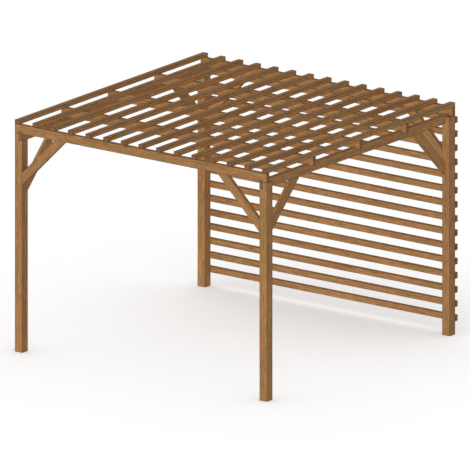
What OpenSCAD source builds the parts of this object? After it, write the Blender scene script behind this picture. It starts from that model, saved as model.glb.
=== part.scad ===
// Free-standing wooden pergola: four rebated posts, two side beams seated in them, cross beams
// notched over the side beams, knee braces, a roof of flat slats and one slatted back wall.
// X runs left to right, Y front to back and Z up from the ground the posts stand on.

/* [Frame] */
// Width over the posts, left to right
frame_w = 3000; // [2400:10:4200]
// Depth over the posts, front to back
frame_d = 3000; // [2400:10:4200]
// Height of the post shoulders that carry the front and back beams
shoulder_h = 2165; // [1900:5:2600]
// Chamfer that eases the long edges of every timber
arris = 2.5; // [1:0.5:5]

/* [Posts] */
// Width of the square posts
post_w = 90; // [80:1:120]

/* [Side beams] */
// Thickness of the side beams
side_beam_t = 40; // [30:1:60]
// Height of the side beams
side_beam_h = 90; // [70:1:160]

/* [Cross beams] */
// Thickness of the cross beams
cross_beam_t = 40; // [30:1:60]
// Height of the cross beams
cross_beam_h = 90; // [70:1:160]
// Depth of the notches that sit the cross beams on the side beams
notch_depth = 18; // [10:1:30]
// Play beside a side beam in its notch
notch_play = 0.5; // [0.2:0.1:2]
// Number of cross beams between the front and the back one
middle_beams = 3; // [1:1:5]

/* [Knee braces] */
// Thickness of the knee braces
brace_t = 40; // [30:1:60]
// Width of the knee braces across their length
brace_w = 90; // [60:1:120]
// Reach of the knee braces along the post and along the beam
brace_reach = 505; // [350:5:700]

/* [Roof] */
// Width of the roof slats
roof_slat_w = 60; // [40:1:90]
// Thickness of the roof slats
roof_slat_t = 40; // [25:1:50]
// Number of roof slats
roof_slats = 15; // [9:1:21]

/* [Back wall] */
// Height of the wall slats
wall_slat_h = 60; // [40:1:90]
// Thickness of the wall slats
wall_slat_t = 40; // [25:1:50]
// Distance from one wall slat to the next
wall_pitch = 140; // [100:1:200]
// Gap between the ground and the lowest wall slat
wall_foot_gap = 128; // [60:1:200]

/* [Hidden] */
// Outer faces of the frame, with the whole depth centred on the origin
x_left = -frame_w / 2;
y_front = -(frame_d + wall_slat_t) / 2;
y_back = y_front + frame_d;

// Levels from the ground up
side_beam_top = shoulder_h + notch_depth;
seat_h = side_beam_top - side_beam_h;
roof_h = shoulder_h + cross_beam_h;

// Spacing of the pieces that repeat
last_beam = middle_beams + 1;
cross_pitch = (frame_d - cross_beam_t) / last_beam;
roof_pitch = (frame_w - roof_slat_w) / (roof_slats - 1);
wall_slats = floor((shoulder_h - wall_foot_gap - wall_slat_h) / wall_pitch) + 1;

// The braces stand at half a right angle
brace_angle = 45;
brace_length = brace_reach / cos(brace_angle);

// How far a cut runs past the timber
overrun = 5;

// Colours of the timbers
post_colour = [0.61, 0.45, 0.30];
beam_colour = [0.60, 0.44, 0.29];
slat_colour = [0.57, 0.42, 0.28];

SIDES = ["left", "right"];
ENDS = ["front", "back"];
BRACED = ["cross", "side"];

// Outline of a planed timber with its four arrises eased
module eased_outline(w, h) {
    polygon([
        [arris, 0], [w - arris, 0],
        [w, arris], [w, h - arris],
        [w - arris, h], [arris, h],
        [0, h - arris], [0, arris]
    ]);
}

// Timber standing along Z, with its corner at the origin
module upright(length, w, d) {
    linear_extrude(length) eased_outline(w, d);
}

// Timber lying along X, with d its size along Y and h its size along Z
module timber_along_x(length, d, h) {
    rotate([90, 0, 90]) linear_extrude(length) eased_outline(d, h);
}

// Timber lying along Y, with w its size along X and h its size along Z
module timber_along_y(length, w, h) {
    translate([0, length, 0]) rotate([90, 0, 0]) linear_extrude(length) eased_outline(w, h);
}

// Children drawn for the left side, or mirrored to the right side
module on_side(side) {
    mirror([side == "right" ? 1 : 0, 0, 0]) children();
}

// Post of the left side, its inner half cut down to seat the side beam
module left_post(end) {
    y = end == "front" ? y_front : y_back - post_w;
    translate([x_left, y, 0]) difference() {
        upright(shoulder_h, post_w, post_w);
        translate([post_w - side_beam_t, -overrun, seat_h])
            cube([side_beam_t + overrun, post_w + 2 * overrun, shoulder_h - seat_h + overrun]);
    }
}

module post(end, side) {
    color(post_colour) on_side(side) left_post(end);
}

// Side beam from front to back, flush with the inner faces of the posts
module side_beam(side) {
    color(beam_colour) on_side(side)
        translate([x_left + post_w - side_beam_t, y_front, seat_h])
            timber_along_y(frame_d, side_beam_t, side_beam_h);
}

// Notch under a cross beam, open on both faces, for the left side beam
module left_notch() {
    translate([x_left + post_w - side_beam_t - notch_play, -overrun, -overrun])
        cube([side_beam_t + 2 * notch_play, cross_beam_t + 2 * overrun, notch_depth + overrun]);
}

// Cross beam from left to right, number 0 over the front posts and the last over the back posts
module cross_beam(i) {
    color(beam_colour) translate([0, y_front + i * cross_pitch, shoulder_h]) difference() {
        translate([x_left, 0, 0]) timber_along_x(frame_w, cross_beam_t, cross_beam_h);
        for (side = SIDES) on_side(side) left_notch();
    }
}

// Brace below the corner of an upright at x = 0 and a beam at z = 0, with both ends mitred
module mitred_brace() {
    intersection() {
        translate([0, 0, -brace_reach]) rotate([0, -brace_angle, 0])
            timber_along_x(brace_length, brace_t, brace_w);
        translate([0, 0, -brace_reach]) cube([brace_reach, brace_t, brace_reach]);
    }
}

// Brace in the plane of a cross beam, flush with the outer face of the post
module left_cross_brace(end) {
    y = end == "front" ? y_front : y_back - brace_t;
    translate([x_left + post_w, y, shoulder_h]) mitred_brace();
}

// Brace in the plane of the left side beam, flush with the inner face of the post
module left_side_brace(end) {
    x = x_left + post_w;
    if (end == "front")
        translate([x, y_front + post_w, seat_h]) rotate([0, 0, 90]) mitred_brace();
    else
        translate([x - brace_t, y_back - post_w, seat_h]) rotate([0, 0, -90]) mitred_brace();
}

module brace(end, side, under) {
    color(beam_colour) on_side(side) {
        if (under == "cross") left_cross_brace(end);
        else left_side_brace(end);
    }
}

// Roof slat laid flat over the cross beams, counted from the left
module roof_slat(i) {
    color(slat_colour)
        translate([x_left + (i - 1) * roof_pitch, y_front, roof_h])
            timber_along_y(frame_d, roof_slat_w, roof_slat_t);
}

// Horizontal slats across the back faces of the two back posts
module back_wall_slats() {
    color(slat_colour)
        for (i = [0:wall_slats - 1])
            translate([x_left, y_back, wall_foot_gap + i * wall_pitch])
                timber_along_x(frame_w, wall_slat_t, wall_slat_h);
}

for (e = ENDS) for (s = SIDES)
    post(e, s);

for (s = SIDES)
    side_beam(s);

cross_beam(0);  // front_beam
cross_beam(last_beam);  // back_beam
for (i = [1:middle_beams])
    cross_beam(i);

for (e = ENDS) for (s = SIDES) for (b = BRACED)
    brace(e, s, b);

for (i = [1:roof_slats])
    roof_slat(i);

back_wall_slats();
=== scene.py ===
# Models the timbers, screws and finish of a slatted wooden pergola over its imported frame.
import math
import random

import bmesh
import bpy
from bpy.props import FloatProperty, FloatVectorProperty, IntProperty, PointerProperty
from mathutils import Matrix, Vector


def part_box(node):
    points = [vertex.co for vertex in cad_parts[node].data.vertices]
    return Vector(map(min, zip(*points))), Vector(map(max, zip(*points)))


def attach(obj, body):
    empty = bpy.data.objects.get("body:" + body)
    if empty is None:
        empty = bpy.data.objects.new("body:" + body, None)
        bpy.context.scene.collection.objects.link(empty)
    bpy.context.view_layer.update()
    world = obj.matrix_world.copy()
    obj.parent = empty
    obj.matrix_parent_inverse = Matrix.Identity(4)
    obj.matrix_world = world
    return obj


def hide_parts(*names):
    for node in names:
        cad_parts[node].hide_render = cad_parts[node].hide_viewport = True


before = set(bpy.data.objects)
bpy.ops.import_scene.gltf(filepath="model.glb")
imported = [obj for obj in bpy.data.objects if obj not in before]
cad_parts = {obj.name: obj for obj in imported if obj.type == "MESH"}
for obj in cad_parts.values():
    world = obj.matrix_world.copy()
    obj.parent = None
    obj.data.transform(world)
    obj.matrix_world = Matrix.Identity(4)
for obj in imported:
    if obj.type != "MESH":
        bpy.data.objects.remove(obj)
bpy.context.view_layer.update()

bl_info = {
    "name": "Wooden Pergola",
    "version": (1, 0, 0),
    "blender": (4, 5, 0),
    "location": "3D View > Sidebar > Pergola",
    "description": "Models the planed timbers, screws and stain of a slatted pergola over its frame",
    "category": "Object",
}

# Names in the frame
SIDES = ("left", "right")
ENDS = ("front", "back")
BODY = "root"
WALL_NODE = "back_wall_slats"

X_AXIS = Vector((1, 0, 0))
Y_AXIS = Vector((0, 1, 0))
Z_AXIS = Vector((0, 0, 1))
HALF_TURN = math.pi
WHITE = (1.0, 1.0, 1.0)

# How far a cut runs past the wood, in metres
OVERRUN = 0.01
# Share of half a timber's length past which a corner counts as lying at its end
AT_END_SHARE = 0.999
# A face counts as sawn across the grain where more of its normal than this runs along the timber
SAWN_SHARE = 0.5
# Faces that meet at less than this angle are shaded as one surface
SMOOTH_ANGLE = math.radians(35)

# How far the log's pith may lie from a timber's middle, across and through it, in metres
POST_HEART = (0.020, 0.024)
BEAM_HEART = (0.030, 0.070)
SLAT_HEART = (0.035, 0.080)
# Share of that distance which the pith keeps at least, through the timber
LEAST_HEART_SHARE = 0.45
# How far along the log, to either side, a timber may have been cut, in metres
LOG_REACH = 40

# Sides of a screw head and of its countersink
SCREW_SIDES = 24
# Rounding of the head's rim, as a share of its radius, and the faces across it
RIM_SHARE = 0.12
RIM_STEPS = 2
# How near the top the rim's edges lie, as a share of the head's depth
RIM_LEVEL_SHARE = 0.01
# A face counts as the head's top where more of its normal than this points up
TOP_FACE_SHARE = 0.99
# Inset of the recess and the circle that holds its corners, as shares of the head's radius
RECESS_INSET_SHARE = 0.36
RECESS_CIRCLE_SHARE = 0.56
# Depth of the recess, as a share of the head's
RECESS_DEPTH_SHARE = 0.6
# Lobes of the recess, the angles between two of them in degrees, and the share of its radius kept there
LOBES = 6
HOLLOW_ANGLES = (20, 50)
HOLLOW_SHARE = 0.78

# Rates of the wood's patterns, per metre along, across and through the grain
PITH_RATES = (0.8, 5.0, 5.0)
WAVE_RATES = (7.0, 45.0, 45.0)
KNOT_RATES = (6.5, 8.0, 8.0)
FIBRE_RATES = (5.0, 650.0, 650.0)
WARMTH_RATES = (5.5, 60.0, 60.0)
CLOUD_RATES = (1.3, 11.0, 11.0)
STREAK_RATES = (11.0, 120.0, 120.0)

# How far the pith wanders, the rings waver and a knot pushes the rings aside, in metres
PITH_SWAY = 0.030
WAVE_SWAY = 0.0016
KNOT_PUSH = 0.009
# Share of the log's cells that hold a knot, and how far it and its core reach, as shares of a cell
KNOT_SHARE = 0.05
KNOT_REACH_SHARE = 0.42
KNOT_CORE_SHARES = (0.065, 0.105)

# Darkness through one growth ring, as pairs of place and level, and how much of it an end shows
RING_STOPS = ((0.0, 0.08), (0.45, 0.12), (0.80, 0.72), (0.93, 1.0), (1.0, 0.10))
END_RING_SHARE = 0.8
# Levels of the warmth between which the red or the green comes in, and how much of it comes
RED_LEVELS = (0.50, 0.66)
RED_SHARE = 0.90
GREEN_LEVELS = (0.50, 0.35)
GREEN_SHARE = 0.75

# Levels that most of a pattern lies between, and how much it lightens or darkens the wood there
NOISE_LEVELS = (0.3, 0.7)
TONE_LEVELS = (-1.0, 1.0)
FIBRE_SHARE = 0.10
CLOUD_SHARE = 0.13
STREAK_SHARE = 0.27
TONE_SHARE = 0.03

# Roughness of the wood from the pale grain to the dark, and the levels of the grain that it goes between
WOOD_ROUGHNESS = (0.85, 0.68)
GRAIN_LEVELS = (0.3, 1.5)
# How strongly the stained wood reflects
WOOD_SHINE = 0.2
# Relief of the grain: the rings' share beside the fibres, its strength and its depth in metres
RING_RELIEF_SHARE = 0.5
RELIEF_STRENGTH = 0.35
RELIEF_DEPTH = 0.0006

# Handling marks on the steel: their rates per metre, the dull tone's share and the roughness
MARK_RATES = (900.0, 900.0, 900.0)
MARK_LEVELS = (0.35, 0.65)
DULL_SHARE = 0.7
STEEL_ROUGHNESS = (0.32, 0.55)

# Light of the sky at the horizon and straight above, as shares of its strength
HORIZON_SHARE = 1.12
ZENITH_SHARE = 0.72

# Distance between the columns and between the rows of nodes in the editor, and the number of rows
NODE_COLUMN = 170
NODE_ROW = 120
NODE_ROWS = 4


class PergolaTimbers(bpy.types.PropertyGroup):
    """Sizes of the planed timbers that the frame doesn't give"""

    arris_radius: FloatProperty(
        name="Arris Radius", description="Rounding along the long edges of a timber",
        default=0.003, min=0.001, max=0.006, unit="LENGTH")
    arris_steps: IntProperty(
        name="Arris Steps", description="Faces across one rounded edge", default=4, min=1, max=8)
    end_ease: FloatProperty(
        name="End Ease", description="Small bevel round a sawn end",
        default=0.0008, min=0.0002, max=0.002, unit="LENGTH")
    notch_play: FloatProperty(
        name="Notch Play", description="Gap beside a side beam in the notch of a cross beam",
        default=0.0005, min=0.0, max=0.002, unit="LENGTH")
    brace_width: FloatProperty(
        name="Brace Width", description="Width of a knee brace across its length",
        default=0.090, min=0.05, max=0.15, unit="LENGTH")
    wall_slat_height: FloatProperty(
        name="Wall Slat Height", description="Height of one slat of the back wall",
        default=0.060, min=0.03, max=0.12, unit="LENGTH")
    wall_slat_pitch: FloatProperty(
        name="Wall Slat Pitch", description="Distance from one wall slat to the next",
        default=0.140, min=0.08, max=0.3, unit="LENGTH")


class PergolaScrews(bpy.types.PropertyGroup):
    """Sizes and places of the countersunk screws"""

    head_radius: FloatProperty(
        name="Head Radius", description="Radius of a screw head",
        default=0.0042, min=0.002, max=0.008, unit="LENGTH")
    hole_radius: FloatProperty(
        name="Hole Radius", description="Radius of the countersink that a head sits in",
        default=0.0048, min=0.002, max=0.009, unit="LENGTH")
    hole_depth: FloatProperty(
        name="Hole Depth", description="Depth of the countersink",
        default=0.003, min=0.001, max=0.006, unit="LENGTH")
    head_depth: FloatProperty(
        name="Head Depth", description="How far a head lies below the face of the wood",
        default=0.0008, min=0.0, max=0.003, unit="LENGTH")
    pair_gap: FloatProperty(
        name="Pair Gap", description="Distance between the two screws of a pair",
        default=0.036, min=0.02, max=0.06, unit="LENGTH")
    tip_gap: FloatProperty(
        name="Tip Gap", description="Distance from the tip of a brace to its first screw",
        default=0.048, min=0.02, max=0.1, unit="LENGTH")


class PergolaFinish(bpy.types.PropertyGroup):
    """Colours and grain of the brown stained softwood, and the painted shade along its edges"""

    early_wood: FloatVectorProperty(
        name="Early Wood", description="Colour of the wide, pale part of a growth ring",
        subtype="COLOR", size=3, min=0, max=1, default=(0.422, 0.224, 0.089))
    late_wood: FloatVectorProperty(
        name="Late Wood", description="Colour of the narrow, dark part of a growth ring",
        subtype="COLOR", size=3, min=0, max=1, default=(0.224, 0.110, 0.040))
    red_streak: FloatVectorProperty(
        name="Red Streak", description="Colour that warms some stretches of a timber",
        subtype="COLOR", size=3, min=0, max=1, default=(0.425, 0.182, 0.069))
    green_streak: FloatVectorProperty(
        name="Green Streak", description="Colour of stretches that took less of the stain's red",
        subtype="COLOR", size=3, min=0, max=1, default=(0.335, 0.202, 0.080))
    end_grain: FloatVectorProperty(
        name="End Grain", description="Colour of a sawn end, where the stain soaks in",
        subtype="COLOR", size=3, min=0, max=1, default=(0.272, 0.128, 0.059))
    knot: FloatVectorProperty(
        name="Knot", description="Colour of a knot",
        subtype="COLOR", size=3, min=0, max=1, default=(0.150, 0.064, 0.026))
    # Painted shade: the colour grows darker within a band along every edge of a timber; these set its
    # depth and width
    painted_edge_darkness: FloatProperty(
        name="Arris Shade", description="How much darker the stain lies along the edges",
        default=0.68, min=0, max=1, subtype="FACTOR")
    painted_edge_band: FloatProperty(
        name="Arris Band", description="How far from an edge the stain lies darker",
        default=0.007, min=0.001, max=0.02, unit="LENGTH")
    ring_width: FloatProperty(
        name="Ring Width", description="Width of one growth ring",
        default=0.0036, min=0.001, max=0.01, unit="LENGTH")
    steel: FloatVectorProperty(
        name="Steel", description="Colour of the screws",
        subtype="COLOR", size=3, min=0, max=1, default=(0.46, 0.44, 0.40))


class PergolaStage(bpy.types.PropertyGroup):
    """Camera, light and floor"""

    azimuth: FloatProperty(
        name="Azimuth", description="Turn of the camera round the pergola, from the open front",
        default=math.radians(36.75), subtype="ANGLE")
    elevation: FloatProperty(
        name="Elevation", description="Height of the camera above the horizon",
        default=math.radians(15.54), subtype="ANGLE")
    view_width: FloatProperty(
        name="View Width", description="Width of the picture at the pergola",
        default=4.480, min=1, max=20, unit="LENGTH")
    aim: FloatVectorProperty(
        name="Aim", description="Point at the middle of the picture",
        size=3, default=(0.0, -0.020, 1.067), subtype="TRANSLATION")
    camera_distance: FloatProperty(
        name="Camera Distance", description="Distance from the aim to the camera",
        default=14.0, min=5, max=40, unit="LENGTH")
    key_strength: FloatProperty(
        name="Key Strength", description="Strength of the soft light from the front",
        default=2.13, min=0, max=10)
    light_spread: FloatProperty(
        name="Light Spread", description="Angle that each soft light covers",
        default=math.radians(30), subtype="ANGLE")
    key_direction: FloatVectorProperty(
        name="Key Direction", description="Way that the soft light shines",
        size=3, default=(-0.354, 0.903, -0.246), subtype="DIRECTION")
    fill_strength: FloatProperty(
        name="Fill Strength", description="Strength of the soft light from the back",
        default=1.4, min=0, max=10)
    fill_direction: FloatVectorProperty(
        name="Fill Direction", description="Way that the light from the back shines",
        size=3, default=(0.65, -1.0, -0.11), subtype="DIRECTION")
    sky_strength: FloatProperty(
        name="Sky Strength", description="Level of the light from all round",
        default=0.30, min=0, max=5)
    floor_size: FloatProperty(
        name="Floor Size", description="Side of the floor", default=60, min=10, max=200, unit="LENGTH")
    floor_tone: FloatProperty(
        name="Floor Tone", description="Paleness of the floor",
        default=0.80, min=0, max=1, subtype="FACTOR")
    floor_glow: FloatProperty(
        name="Floor Glow", description="White added to the floor where it is looked at",
        default=0.63, min=0, max=1, subtype="FACTOR")
    shadow_reach: FloatProperty(
        name="Shadow Reach", description="How far from a timber the floor's glow is still dimmed",
        default=2.5, min=0.1, max=10, unit="LENGTH")
    shadow_samples: IntProperty(
        name="Shadow Samples", description="Directions tried at each point of the floor",
        default=16, min=1, max=128)


def timbers():
    return bpy.context.scene.pergola_timbers


def screws():
    return bpy.context.scene.pergola_screws


def finish():
    return bpy.context.scene.pergola_finish


def corners(node):
    """The lowest and the highest corner of a node of the frame."""
    low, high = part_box(node)
    return Vector(low), Vector(high)


def middle(node):
    low, high = corners(node)
    return (low + high) / 2


def size(node):
    low, high = corners(node)
    return high - low


def numbered(stem):
    """The frame's nodes with that stem and a number, in order."""
    count = sum(1 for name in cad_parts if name.startswith(stem))
    return [f"{stem}{i}" for i in range(1, count + 1)]


# Modelling steps

def deselect_all():
    bpy.ops.object.select_all(action="DESELECT")


def pick(piece):
    deselect_all()
    piece.select_set(True)
    bpy.context.view_layer.objects.active = piece


def settle(piece):
    """Puts the piece's place, turn and size into its mesh."""
    pick(piece)
    bpy.ops.object.transform_apply(location=True, rotation=True, scale=True)


def add_block(low, high):
    """A block between two corners."""
    deselect_all()
    bpy.ops.mesh.primitive_cube_add(size=1, location=(low + high) / 2)
    block = bpy.context.object
    block.scale = high - low
    settle(block)
    return block


def select_edges(piece, chosen):
    """Goes into edit mode and selects the edges whose two ends chosen() says yes to."""
    pick(piece)
    bpy.ops.object.mode_set(mode="EDIT")
    bpy.ops.mesh.select_mode(type="EDGE")
    bpy.ops.mesh.select_all(action="DESELECT")
    mesh = bmesh.from_edit_mesh(piece.data)
    for edge in mesh.edges:
        edge.select_set(chosen(edge.verts[0].co, edge.verts[1].co))
    bmesh.update_edit_mesh(piece.data)


def round_edges(piece, chosen, width, steps):
    select_edges(piece, chosen)
    bpy.ops.mesh.bevel(offset=width, segments=steps, affect="EDGES")
    bpy.ops.object.mode_set(mode="OBJECT")


def apply_modifier(piece, kind, **settings):
    pick(piece)
    modifier = piece.modifiers.new(kind.lower(), kind)
    for name, value in settings.items():
        setattr(modifier, name, value)
    bpy.ops.object.modifier_apply(modifier=modifier.name)


def cut_with(piece, cutter):
    """Cuts the cutter's shape out of the piece and removes the cutter."""
    apply_modifier(piece, "BOOLEAN", operation="DIFFERENCE", solver="EXACT", object=cutter)
    bpy.data.objects.remove(cutter)


def cut_plane(piece, point, outward):
    """Saws the piece along a plane, drops what lies outward of it and closes the cut."""
    pick(piece)
    bpy.ops.object.mode_set(mode="EDIT")
    bpy.ops.mesh.select_all(action="SELECT")
    bpy.ops.mesh.bisect(plane_co=point, plane_no=outward, use_fill=True, clear_outer=True)
    bpy.ops.object.mode_set(mode="OBJECT")


def repeat(piece, step, count):
    """Copies the piece's mesh in a row."""
    apply_modifier(piece, "ARRAY", use_relative_offset=False, use_constant_offset=True,
                   constant_offset_displace=step, count=count)


def copy_of(pattern, name, place, turn):
    """A copy of a pattern with a mesh of its own, turned about Z and moved to a place."""
    pick(pattern)
    bpy.ops.object.duplicate(linked=False)
    piece = bpy.context.object
    piece.name = name
    piece.data.name = name
    piece.location = place
    piece.rotation_euler = (0, 0, turn)
    settle(piece)
    return piece


def joined(pieces):
    """The first of the pieces, with the meshes of the others joined to its own."""
    pick(pieces[0])
    for piece in pieces:
        piece.select_set(True)
    bpy.ops.object.join()
    return pieces[0]


# Timbers

class TimberGroup:
    """Like timbers: how they were sawn, where each one goes and where its screws sit.

    half is half the length, width and depth of one timber, counted along, across and through it.
    heart is how far the log's pith may lie from the timber's middle, across and through it. A line
    of the layout is a timber's name, the node it stands for, the place of its middle and its turn.
    """

    def __init__(self, slot, along, across, half, heart, layout, screw_rows=None):
        self.slot = slot
        self.along = along
        self.across = across
        self.half = half
        self.heart = heart
        self.layout = layout
        self.screw_rows = screw_rows

    def planed_timber(self):
        """A timber round the origin, with its long edges rounded and its sawn ends eased."""
        axes = (self.along, self.across, self.along.cross(self.across))
        reach = Vector([sum(abs(axis[i]) * h for axis, h in zip(axes, self.half)) for i in range(3)])
        piece = add_block(-reach, reach)
        end = self.half[0] * AT_END_SHARE

        def runs_along(a, b):
            return abs(self.along.dot(a - b)) > end

        def lies_on_an_end(a, b):
            return not runs_along(a, b) and min(abs(self.along.dot(a)), abs(self.along.dot(b))) > end

        round_edges(piece, runs_along, timbers().arris_radius, timbers().arris_steps)
        round_edges(piece, lies_on_an_end, timbers().end_ease, 1)
        return piece

    def set_out(self, pattern):
        """Puts a copy of the pattern at each place of the layout, and removes the pattern."""
        material = stained_softwood(f"stained_{self.slot}")
        for name, node, place, turn in self.layout:
            piece = copy_of(pattern, name, place, turn)
            self.lay_grain(piece, place, turn)
            complete(piece, material)
            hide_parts(node)
        bpy.data.objects.remove(pattern)

    def lay_grain(self, piece, place, turn):
        """Gives the mesh its place in the log it was sawn from, and marks its sawn ends."""
        dice = random.Random(piece.name)
        swing = Matrix.Rotation(turn, 3, "Z")
        along = swing @ self.along
        across = swing @ self.across
        rows = Matrix((along, across, along.cross(across)))
        sideways = self.heart[0] * dice.uniform(-1, 1)
        inward = self.heart[1] * dice.choice((-1, 1)) * dice.uniform(LEAST_HEART_SHARE, 1)
        in_log = (dice.uniform(-LOG_REACH, LOG_REACH), sideways, inward)
        tone = dice.uniform(-1, 1)

        mesh = piece.data
        places = []
        for vertex in mesh.vertices:
            places.extend(rows @ (vertex.co - place))
        marks = []
        for face in mesh.polygons:
            sawn = abs(along.dot(face.normal)) > SAWN_SHARE
            marks.extend((float(sawn), tone, 0.0))
        count = len(mesh.polygons)
        add_vectors(mesh, "place", "POINT", places)
        add_vectors(mesh, "cut", "FACE", marks)
        add_vectors(mesh, "half", "FACE", tuple(self.half) * count)
        add_vectors(mesh, "log", "FACE", in_log * count)


def add_vectors(mesh, name, domain, values):
    mesh.attributes.new(name, "FLOAT_VECTOR", domain).data.foreach_set("vector", values)


def complete(piece, material):
    """Smooths the rounded edges, gives the piece its finish and ties it to the body."""
    pick(piece)
    bpy.ops.object.shade_smooth_by_angle(angle=SMOOTH_ANGLE)
    apply_modifier(piece, "WEIGHTED_NORMAL", keep_sharp=True)
    piece.data.materials.clear()
    piece.data.materials.append(material)
    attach(piece, BODY)


def posts():
    layout = []
    for end in ENDS:
        for side in SIDES:
            node = f"post_{end}_{side}"
            layout.append((f"{node}_timber", node, middle(node), 0.0 if side == "left" else HALF_TURN))
    box = size("post_front_left")
    half = Vector((box.z, box.x, box.y)) / 2
    return TimberGroup("post_timber", Z_AXIS, X_AXIS, half, POST_HEART, layout)


def side_beams():
    layout = []
    for side in SIDES:
        node = f"side_beam_{side}"
        layout.append((f"{node}_timber", node, middle(node), 0.0 if side == "left" else HALF_TURN))
    box = size("side_beam_left")
    half = Vector((box.y, box.z, box.x)) / 2

    # A pair through the inner face into each post, halfway up the seat
    post = corners("post_front_left")[1]
    up = (corners("side_beam_left")[0].z + post.z) / 2 - middle("side_beam_left").z
    span = middle("post_back_left").y - middle("post_front_left").y
    gap = screws().pair_gap
    first = Vector((half[2], -(span + gap) / 2, up))
    rows = ScrewRows(first, X_AXIS, (Y_AXIS * gap, 2), (Y_AXIS * span, 2))
    return TimberGroup("beam_timber", Y_AXIS, Z_AXIS, half, BEAM_HEART, layout, rows)


def cross_beams():
    nodes = ["front_beam", *numbered("middle_beam_"), "back_beam"]
    layout = [(f"{node}_timber", node, middle(node), 0.0) for node in nodes]
    box = size("front_beam")
    half = Vector((box.x, box.z, box.y)) / 2
    return TimberGroup("beam_timber", X_AXIS, Z_AXIS, half, BEAM_HEART, layout)


def knee_braces():
    along = (Z_AXIS + X_AXIS).normalized()
    inward = (Z_AXIS - X_AXIS).normalized()
    width = timbers().brace_width
    cross_turns = {"left": 0.0, "right": HALF_TURN}
    side_turns = {"front": HALF_TURN / 2, "back": -HALF_TURN / 2}
    layout = []
    for end in ENDS:
        for side in SIDES:
            for plane, turn in (("cross", cross_turns[side]), ("side", side_turns[end])):
                node = f"brace_{end}_{side}_{plane}"
                place = middle(node) + Matrix.Rotation(turn, 3, "Z") @ inward * width / 2
                layout.append((f"{node}_timber", node, place, turn))
    box = size("brace_front_left_cross")
    length = box.z * math.sqrt(2)
    half = Vector((length, width, box.y)) / 2

    # A pair near each tip, through the lower face
    gap = screws().pair_gap
    first = -along * (half[0] - screws().tip_gap) - inward * half[1]
    rest = length - 2 * screws().tip_gap - gap
    rows = ScrewRows(first, -inward, (along * gap, 2), (along * rest, 2))
    return TimberGroup("beam_timber", along, inward, half, BEAM_HEART, layout, rows)


def roof_slats():
    layout = [(f"{node}_timber", node, middle(node), 0.0) for node in numbered("roof_slat_")]
    box = size("roof_slat_1")
    half = Vector((box.y, box.x, box.z)) / 2

    # One over each cross beam
    beams = len(numbered("middle_beam_")) + 2
    first = middle("front_beam").y
    last = middle("back_beam").y
    step = Y_AXIS * (last - first) / (beams - 1)
    rows = ScrewRows(Vector((0, first - middle("roof_slat_1").y, half[2])), Z_AXIS, (step, beams))
    return TimberGroup("slat_timber", Y_AXIS, X_AXIS, half, SLAT_HEART, layout, rows)


def wall_slats():
    low, high = corners(WALL_NODE)
    height = timbers().wall_slat_height
    pitch = timbers().wall_slat_pitch
    count = round((high.z - low.z - height) / pitch) + 1
    layout = []
    for i in range(count):
        place = Vector((middle(WALL_NODE).x, middle(WALL_NODE).y, low.z + height / 2 + i * pitch))
        layout.append((f"back_wall_slat_{i + 1}", WALL_NODE, place, 0.0))
    box = size(WALL_NODE)
    half = Vector((box.x, height, box.y)) / 2

    # A pair over each back post
    gap = screws().pair_gap
    left = middle("post_back_left").x
    right = middle("post_back_right").x
    first = Vector((left - gap / 2 - middle(WALL_NODE).x, half[2], 0))
    rows = ScrewRows(first, Y_AXIS, (X_AXIS * gap, 2), (X_AXIS * (right - left), 2))
    return TimberGroup("slat_timber", X_AXIS, Z_AXIS, half, SLAT_HEART, layout, rows)


# Screws

class ScrewRows:
    """Screws on one face of a timber: the first one's place, the way it faces, and repeated steps."""

    def __init__(self, first, normal, *steps):
        self.first = first
        self.normal = normal
        self.steps = steps

    def spread(self, piece):
        """Stands a piece that was made along Z on the first place and repeats it."""
        piece.location = self.first
        piece.rotation_euler = self.normal.to_track_quat("Z", "Y").to_euler()
        settle(piece)
        for step, count in self.steps:
            repeat(piece, step, count)

    def drill(self, timber):
        """Cuts the countersinks into a timber that lies round the origin."""
        deselect_all()
        bpy.ops.mesh.primitive_cylinder_add(
            vertices=SCREW_SIDES, radius=screws().hole_radius, depth=2 * screws().hole_depth)
        cutter = bpy.context.object
        self.spread(cutter)
        cut_with(timber, cutter)


def screw_head():
    """One countersunk head under the origin, with a rounded rim and a six-lobed recess."""
    radius = screws().head_radius
    top = -screws().head_depth
    depth = screws().hole_depth + top
    deselect_all()
    bpy.ops.mesh.primitive_cylinder_add(
        vertices=SCREW_SIDES, radius=radius, depth=depth, location=(0, 0, top - depth / 2))
    head = bpy.context.object
    settle(head)
    rim = top - depth * RIM_LEVEL_SHARE
    round_edges(head, lambda a, b: min(a.z, b.z) > rim, radius * RIM_SHARE, RIM_STEPS)

    bpy.ops.object.mode_set(mode="EDIT")
    bpy.ops.mesh.select_mode(type="FACE")
    bpy.ops.mesh.select_all(action="DESELECT")
    mesh = bmesh.from_edit_mesh(head.data)
    for face in mesh.faces:
        face.select_set(face.normal.z > TOP_FACE_SHARE)
    bmesh.update_edit_mesh(head.data)
    bpy.ops.mesh.inset(thickness=radius * RECESS_INSET_SHARE)

    # A second inset only goes down; leaving edit mode before it keeps its faces in the same order each run
    bpy.ops.object.mode_set(mode="OBJECT")
    bpy.ops.object.mode_set(mode="EDIT")
    bpy.ops.mesh.inset(thickness=0.0, depth=-depth * RECESS_DEPTH_SHARE)

    # Every other pair of the recess's corners moves in, which leaves six lobes
    bpy.ops.mesh.select_mode(type="VERT")
    bpy.ops.mesh.select_all(action="DESELECT")
    mesh = bmesh.from_edit_mesh(head.data)
    start, end = HOLLOW_ANGLES
    for vertex in mesh.verts:
        angle = math.degrees(math.atan2(vertex.co.y, vertex.co.x)) % (360 / LOBES)
        recess = vertex.co.xy.length < radius * RECESS_CIRCLE_SHARE
        vertex.select_set(recess and start < angle < end)
    bmesh.update_edit_mesh(head.data)
    bpy.ops.transform.resize(value=(HOLLOW_SHARE, HOLLOW_SHARE, 1), center_override=(0, 0, 0))
    bpy.ops.object.mode_set(mode="OBJECT")
    return head


# Materials

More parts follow.
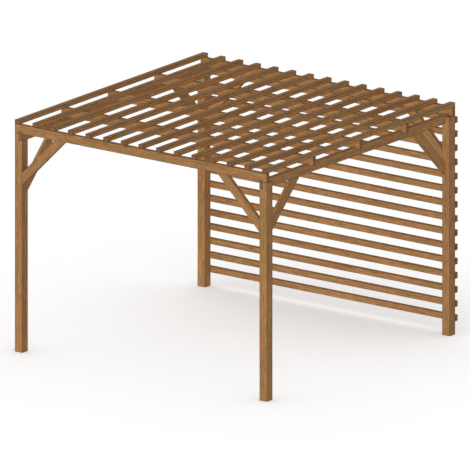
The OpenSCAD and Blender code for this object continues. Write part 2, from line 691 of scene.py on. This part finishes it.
class NodeDesk:
    """Puts nodes into a tree from left to right and joins their sockets."""

    def __init__(self, tree):
        self.tree = tree
        self.column = 0
        tree.nodes.clear()

    def put(self, kind, inputs=None, **settings):
        """A node with the given settings; an input is a value or a socket to join."""
        node = self.tree.nodes.new(kind)
        node.location = (self.column * NODE_COLUMN, -(self.column % NODE_ROWS) * NODE_ROW)
        self.column += 1
        for name, value in settings.items():
            setattr(node, name, value)
        for key, value in (inputs or {}).items():
            if isinstance(value, bpy.types.NodeSocket):
                self.tree.links.new(value, node.inputs[key])
            else:
                node.inputs[key].default_value = value
        return node

    def attribute(self, name):
        return self.put("ShaderNodeAttribute", attribute_name=name).outputs["Vector"]

    def split(self, vector):
        return self.put("ShaderNodeSeparateXYZ", {0: vector}).outputs

    def math(self, operation, a, b=0.0, clamp=False):
        return self.put("ShaderNodeMath", {0: a, 1: b}, operation=operation, use_clamp=clamp).outputs[0]

    def vector(self, operation, a, b=(0.0, 0.0, 0.0)):
        return self.put("ShaderNodeVectorMath", {0: a, 1: b}, operation=operation).outputs[0]

    def length(self, vector):
        return self.put("ShaderNodeVectorMath", {0: vector}, operation="LENGTH").outputs["Value"]

    def noise(self, vector, rates, detail=2.0, roughness=0.5):
        """Noise with rates of its own along, across and through the grain."""
        scaled = self.vector("MULTIPLY", vector, rates)
        return self.put("ShaderNodeTexNoise", {
            "Vector": scaled, "Scale": 1.0, "Detail": detail, "Roughness": roughness})

    def sway(self, vector, rates, amount, detail):
        """An offset that wanders to either side across the grain by up to half the amount."""
        wander = self.noise(vector, rates, detail).outputs["Color"]
        centred = self.vector("SUBTRACT", wander, (0.5, 0.5, 0.5))
        return self.vector("MULTIPLY", centred, (0.0, amount, amount))

    def fit(self, value, low, high, new_low, new_high, smooth=False):
        kind = "SMOOTHSTEP" if smooth else "LINEAR"
        node = self.put("ShaderNodeMapRange", {0: value, 1: low, 2: high, 3: new_low, 4: new_high},
                        interpolation_type=kind, clamp=True)
        return node.outputs[0]

    def ramp(self, value, stops):
        """A grey ramp: stops are pairs of place and level."""
        node = self.put("ShaderNodeValToRGB", {0: value})
        elements = node.color_ramp.elements
        while len(elements) < len(stops):
            elements.new(1.0)
        for element, (place, level) in zip(elements, stops):
            element.position = place
            element.color = (level, level, level, 1)
        return node.outputs["Color"]

    def mix(self, factor, a, b, blend="MIX"):
        node = self.put("ShaderNodeMix", {0: factor, 6: a, 7: b}, data_type="RGBA", blend_type=blend)
        return node.outputs[2]

    def seen(self):
        """One where the camera, a reflection or glass looks straight at a surface."""
        path = self.put("ShaderNodeLightPath").outputs
        direct = self.math("ADD", path["Is Camera Ray"], path["Is Glossy Ray"])
        return self.math("ADD", direct, path["Is Transmission Ray"], clamp=True)


def new_material(name):
    material = bpy.data.materials.new(name)
    material.use_nodes = True
    return material, NodeDesk(material.node_tree)


def solid(colour):
    return (*colour, 1.0)


def growth_rings(desk, grain, ring_width):
    """How far the wood lies towards the dark of its growth ring, and one inside a knot's core."""
    # The pith wanders along the log, so the rings run out of the faces in long arches
    moved = desk.vector("ADD", grain, desk.sway(grain, PITH_RATES, PITH_SWAY, detail=1))
    moved = desk.vector("ADD", moved, desk.sway(grain, WAVE_RATES, WAVE_SWAY, detail=2))
    radius = desk.length(desk.vector("MULTIPLY", moved, (0.0, 1.0, 1.0)))

    # A few cells of the log hold a knot, which pushes the rings aside
    cells = desk.vector("MULTIPLY", grain, KNOT_RATES)
    cell = desk.put("ShaderNodeTexVoronoi", {"Vector": cells, "Scale": 1.0}).outputs
    has_knot = desk.math("GREATER_THAN", desk.split(cell["Color"])[0], 1 - KNOT_SHARE)
    nearness = desk.fit(cell["Distance"], 0.0, KNOT_REACH_SHARE, 1.0, 0.0, smooth=True)
    nearness = desk.math("MULTIPLY", nearness, has_knot)
    core = desk.fit(cell["Distance"], *KNOT_CORE_SHARES, 1.0, 0.0, smooth=True)
    core = desk.math("MULTIPLY", core, has_knot)
    radius = desk.math("ADD", radius, desk.math("MULTIPLY", nearness, KNOT_PUSH))

    # One growth ring goes slowly from pale to dark and falls back at once
    turns = desk.math("DIVIDE", radius, ring_width)
    late = desk.ramp(desk.math("FRACT", turns), RING_STOPS)
    return late, core


def painted_edge_factor(desk, place, looks):
    """One inside the faces of a timber and less along its edges, where painted shade darkens the colour.
    """
    # The distance to the nearest edge is the middle one of the three depths inside the timber
    depths = desk.vector("SUBTRACT", desk.attribute("half"), desk.vector("ABSOLUTE", place))
    lengthways, across, through = desk.split(depths)[:3]
    lesser = desk.math("MINIMUM", lengthways, across)
    greater = desk.math("MAXIMUM", lengthways, across)
    to_edge = desk.math("MAXIMUM", lesser, desk.math("MINIMUM", greater, through))
    return desk.fit(to_edge, 0.0, looks.painted_edge_band, 1.0 - looks.painted_edge_darkness, 1.0, smooth=True)


def stained_softwood(name):
    """Brown stained softwood as a solid log: rings, fibres, knots, sawn ends and painted shade along the
    edges.
    """
    if name in bpy.data.materials:
        return bpy.data.materials[name]
    looks = finish()
    material, desk = new_material(name)
    place = desk.attribute("place")
    grain = desk.vector("ADD", place, desk.attribute("log"))
    sawn, tone = desk.split(desk.attribute("cut"))[:2]
    late, core = growth_rings(desk, grain, looks.ring_width)
    fibre = desk.noise(grain, FIBRE_RATES, detail=3, roughness=0.6).outputs[0]

    # The stain takes unevenly, redder on some stretches and greener on others
    wood = desk.mix(late, solid(looks.early_wood), solid(looks.late_wood))
    warmth = desk.noise(grain, WARMTH_RATES).outputs[0]
    red = desk.fit(warmth, *RED_LEVELS, 0.0, RED_SHARE, smooth=True)
    wood = desk.mix(red, wood, solid(looks.red_streak))
    green = desk.fit(warmth, *GREEN_LEVELS, 0.0, GREEN_SHARE, smooth=True)
    wood = desk.mix(green, wood, solid(looks.green_streak))
    wood = desk.mix(core, wood, solid(looks.knot))

    # Ends drink the stain: redder and darker, with the rings still showing
    end_late = desk.math("MULTIPLY", late, END_RING_SHARE)
    end_wood = desk.mix(end_late, solid(looks.end_grain), solid(looks.knot))
    wood = desk.mix(sawn, wood, end_wood)

    # Painted shade darkens the stain along the edges; fibres, clouds, streaks and the timber's own tone
    # lighten or darken it
    shade = painted_edge_factor(desk, place, looks)
    cloud = desk.noise(grain, CLOUD_RATES).outputs[0]
    streak = desk.noise(grain, STREAK_RATES, detail=3).outputs[0]
    for pattern, levels, share in (
            (fibre, NOISE_LEVELS, FIBRE_SHARE), (cloud, NOISE_LEVELS, CLOUD_SHARE),
            (streak, NOISE_LEVELS, STREAK_SHARE), (tone, TONE_LEVELS, TONE_SHARE)):
        shade = desk.math("MULTIPLY", shade, desk.fit(pattern, *levels, 1 - share, 1 + share))
    grey = desk.put("ShaderNodeCombineXYZ", {0: shade, 1: shade, 2: shade}).outputs[0]
    wood = desk.mix(1.0, wood, grey, "MULTIPLY")

    roughness = desk.fit(desk.math("ADD", late, fibre), *GRAIN_LEVELS, *WOOD_ROUGHNESS)
    height = desk.math("ADD", desk.math("MULTIPLY", late, RING_RELIEF_SHARE), fibre)
    relief = desk.put("ShaderNodeBump", {
        "Strength": RELIEF_STRENGTH, "Distance": RELIEF_DEPTH, "Height": height})
    surface = desk.put("ShaderNodeBsdfPrincipled", {
        "Base Color": wood, "Roughness": roughness,
        "Normal": relief.outputs[0], "Specular IOR Level": WOOD_SHINE})
    desk.put("ShaderNodeOutputMaterial", {"Surface": surface.outputs[0]})
    return material


def screw_steel():
    """Zinc-plated steel with faint handling marks."""
    material, desk = new_material("screw_steel")
    place = desk.put("ShaderNodeTexCoord").outputs["Object"]
    marks = desk.noise(place, MARK_RATES, detail=3).outputs[0]
    dull = tuple(DULL_SHARE * c for c in finish().steel)
    colour = desk.mix(desk.fit(marks, *MARK_LEVELS, 0.0, 1.0), solid(finish().steel), solid(dull))
    surface = desk.put("ShaderNodeBsdfPrincipled", {
        "Base Color": colour, "Metallic": 1.0,
        "Roughness": desk.fit(marks, *NOISE_LEVELS, *STEEL_ROUGHNESS)})
    desk.put("ShaderNodeOutputMaterial", {"Surface": surface.outputs[0]})
    return material


# Operators

class PERGOLA_OT_posts(bpy.types.Operator):
    """Models the four posts, each with its inner half cut down to seat a side beam"""

    bl_idname = "pergola.posts"
    bl_label = "Posts"

    def execute(self, context):
        group = posts()
        pattern = group.planed_timber()
        seat = corners("side_beam_left")[0] - middle("post_front_left")
        top, side, depth = (reach + OVERRUN for reach in group.half)
        cut_with(pattern, add_block(Vector((seat.x, -depth, seat.z)), Vector((side, depth, top))))
        group.set_out(pattern)
        return {"FINISHED"}


class PERGOLA_OT_side_beams(bpy.types.Operator):
    """Models the two side beams that lie in the posts from front to back"""

    bl_idname = "pergola.side_beams"
    bl_label = "Side Beams"

    def execute(self, context):
        group = side_beams()
        pattern = group.planed_timber()
        group.screw_rows.drill(pattern)
        group.set_out(pattern)
        return {"FINISHED"}


class PERGOLA_OT_cross_beams(bpy.types.Operator):
    """Models the cross beams and cuts the notches that sit them on the side beams"""

    bl_idname = "pergola.cross_beams"
    bl_label = "Cross Beams"

    def execute(self, context):
        group = cross_beams()
        pattern = group.planed_timber()
        centre = middle("front_beam")
        depth = group.half[2] + OVERRUN
        play = timbers().notch_play
        for side in SIDES:
            low, high = corners(f"side_beam_{side}")
            notch_low = Vector((low.x - centre.x - play, -depth, -group.half[1] - OVERRUN))
            notch_high = Vector((high.x - centre.x + play, depth, high.z - centre.z))
            cut_with(pattern, add_block(notch_low, notch_high))
        group.set_out(pattern)
        return {"FINISHED"}


class PERGOLA_OT_knee_braces(bpy.types.Operator):
    """Models the knee braces, mitred between a post and the beam over it"""

    bl_idname = "pergola.knee_braces"
    bl_label = "Knee Braces"

    def execute(self, context):
        group = knee_braces()
        lying = TimberGroup(None, X_AXIS, Z_AXIS, group.half, None, [])
        pattern = lying.planed_timber()
        pattern.rotation_euler = (0, -math.atan2(group.along.z, group.along.x), 0)
        settle(pattern)
        foot = -group.along * group.half[0] - group.across * group.half[1]
        head = group.along * group.half[0] - group.across * group.half[1]
        cut_plane(pattern, foot, -X_AXIS)
        cut_plane(pattern, head, Z_AXIS)
        group.screw_rows.drill(pattern)
        group.set_out(pattern)
        return {"FINISHED"}


class PERGOLA_OT_roof_slats(bpy.types.Operator):
    """Models the roof slats, each with a countersink over every cross beam"""

    bl_idname = "pergola.roof_slats"
    bl_label = "Roof Slats"

    def execute(self, context):
        group = roof_slats()
        pattern = group.planed_timber()
        group.screw_rows.drill(pattern)
        group.set_out(pattern)
        return {"FINISHED"}


class PERGOLA_OT_wall_slats(bpy.types.Operator):
    """Models the slats of the back wall, each with two countersinks over each post"""

    bl_idname = "pergola.wall_slats"
    bl_label = "Wall Slats"

    def execute(self, context):
        group = wall_slats()
        pattern = group.planed_timber()
        group.screw_rows.drill(pattern)
        group.set_out(pattern)
        return {"FINISHED"}


class PERGOLA_OT_screws(bpy.types.Operator):
    """Models one screw head and copies it into every countersink"""

    bl_idname = "pergola.screws"
    bl_label = "Screws"

    def execute(self, context):
        steel = screw_steel()
        head = screw_head()
        groups = {
            "side_beam_screws": side_beams(),
            "brace_screws": knee_braces(),
            "roof_screws": roof_slats(),
            "wall_screws": wall_slats(),
        }
        for name, group in groups.items():
            rows = copy_of(head, "rows", Vector(), 0.0)
            group.screw_rows.spread(rows)
            copies = [copy_of(rows, name, place, turn) for _, _, place, turn in group.layout]
            bpy.data.objects.remove(rows)
            complete(joined(copies), steel)
        bpy.data.objects.remove(head)
        return {"FINISHED"}


class PERGOLA_OT_stage(bpy.types.Operator):
    """Sets up the pale floor, the soft light and the camera"""

    bl_idname = "pergola.stage"
    bl_label = "Stage"

    def execute(self, context):
        setup = context.scene.pergola_stage
        context.scene.view_settings.view_transform = "Standard"
        self.add_floor(setup)
        self.add_sky(context, setup)
        self.add_light("front_light", setup.key_strength, setup.key_direction, setup.light_spread)
        self.add_light("back_light", setup.fill_strength, setup.fill_direction, setup.light_spread)
        self.add_camera(context, setup)
        return {"FINISHED"}

    def add_floor(self, setup):
        """A matt floor that glows white where it is seen, and less where the pergola covers it: a painted
        shadow.
        """
        deselect_all()
        bpy.ops.mesh.primitive_plane_add(size=setup.floor_size)
        floor = bpy.context.object
        floor.name = "floor"
        material, desk = new_material("pale_floor")
        matt = desk.put("ShaderNodeBsdfDiffuse", {"Color": solid((setup.floor_tone,) * 3)})
        # Painted shadow: the glow dims by how much the timbers cover each point of the floor
        uncovered = desk.put("ShaderNodeAmbientOcclusion", {"Distance": setup.shadow_reach},
                             samples=setup.shadow_samples)
        level = desk.math("MULTIPLY", uncovered.outputs["AO"], setup.floor_glow)
        white = desk.put("ShaderNodeEmission", {"Color": solid(WHITE), "Strength": level})
        glow = desk.put("ShaderNodeMixShader", {0: desk.seen(), 2: white.outputs[0]})
        both = desk.put("ShaderNodeAddShader", {0: matt.outputs[0], 1: glow.outputs[0]})
        desk.put("ShaderNodeOutputMaterial", {"Surface": both.outputs[0]})
        floor.data.materials.append(material)

    def add_sky(self, context, setup):
        """Light from all round, a little stronger at the horizon; white where it is seen."""
        world = bpy.data.worlds.new("studio")
        world.use_nodes = True
        context.scene.world = world
        desk = NodeDesk(world.node_tree)
        height = desk.split(desk.put("ShaderNodeTexCoord").outputs["Generated"])[2]
        horizon = HORIZON_SHARE * setup.sky_strength
        zenith = ZENITH_SHARE * setup.sky_strength
        level = desk.fit(height, 0.0, 1.0, horizon, zenith)
        light = desk.put("ShaderNodeBackground", {"Color": solid(WHITE), "Strength": level})
        white = desk.put("ShaderNodeBackground", {"Color": solid(WHITE), "Strength": 1.0})
        shown = desk.put("ShaderNodeMixShader", {0: desk.seen(), 1: light.outputs[0], 2: white.outputs[0]})
        desk.put("ShaderNodeOutputWorld", {"Surface": shown.outputs[0]})

    def add_light(self, name, strength, direction, spread):
        """A broad lamp whose soft light reaches round every timber and lays no sheen on the stain."""
        deselect_all()
        bpy.ops.object.light_add(type="SUN")
        lamp = bpy.context.object
        lamp.name = name
        lamp.visible_glossy = False
        lamp.data.energy = strength
        lamp.data.angle = spread
        lamp.data.use_shadow = False
        lamp.rotation_euler = Vector(direction).to_track_quat("-Z", "Y").to_euler()

    def add_camera(self, context, setup):
        deselect_all()
        bpy.ops.object.camera_add()
        camera = bpy.context.object
        camera.name = "camera"
        camera.data.type = "ORTHO"
        camera.data.ortho_scale = setup.view_width
        level = math.cos(setup.elevation)
        rise = math.sin(setup.elevation)
        back = Vector((math.sin(setup.azimuth) * level, -math.cos(setup.azimuth) * level, rise))
        camera.location = Vector(setup.aim) + back * setup.camera_distance
        camera.rotation_euler = (-back).to_track_quat("-Z", "Y").to_euler()
        context.scene.camera = camera


class PERGOLA_PT_sidebar(bpy.types.Panel):
    """Lists the steps that model the pergola, with their sizes and colours"""

    bl_idname = "PERGOLA_PT_sidebar"
    bl_label = "Pergola"
    bl_space_type = "VIEW_3D"
    bl_region_type = "UI"
    bl_category = "Pergola"

    def draw(self, context):
        layout = self.layout
        for step in STEPS:
            layout.operator(step.bl_idname)
        for name in GROUPS:
            group = getattr(context.scene, name)
            part = layout.box()
            for prop in group.bl_rna.properties:
                if prop.identifier not in ("name", "rna_type"):
                    part.prop(group, prop.identifier)


GROUPS = {
    "pergola_timbers": PergolaTimbers,
    "pergola_screws": PergolaScrews,
    "pergola_finish": PergolaFinish,
    "pergola_stage": PergolaStage,
}
STEPS = (
    PERGOLA_OT_posts,
    PERGOLA_OT_side_beams,
    PERGOLA_OT_cross_beams,
    PERGOLA_OT_knee_braces,
    PERGOLA_OT_roof_slats,
    PERGOLA_OT_wall_slats,
    PERGOLA_OT_screws,
    PERGOLA_OT_stage,
)


def register():
    for kind in (*GROUPS.values(), *STEPS, PERGOLA_PT_sidebar):
        bpy.utils.register_class(kind)
    for name, kind in GROUPS.items():
        setattr(bpy.types.Scene, name, PointerProperty(type=kind))


def unregister():
    for name in GROUPS:
        delattr(bpy.types.Scene, name)
    for kind in (PERGOLA_PT_sidebar, *reversed(STEPS), *reversed(list(GROUPS.values()))):
        bpy.utils.unregister_class(kind)


def main():
    register()
    bpy.ops.pergola.posts()
    bpy.ops.pergola.side_beams()
    bpy.ops.pergola.cross_beams()
    bpy.ops.pergola.knee_braces()
    bpy.ops.pergola.roof_slats()
    bpy.ops.pergola.wall_slats()
    bpy.ops.pergola.screws()
    bpy.ops.pergola.stage()


if __name__ == "__main__":
    main()
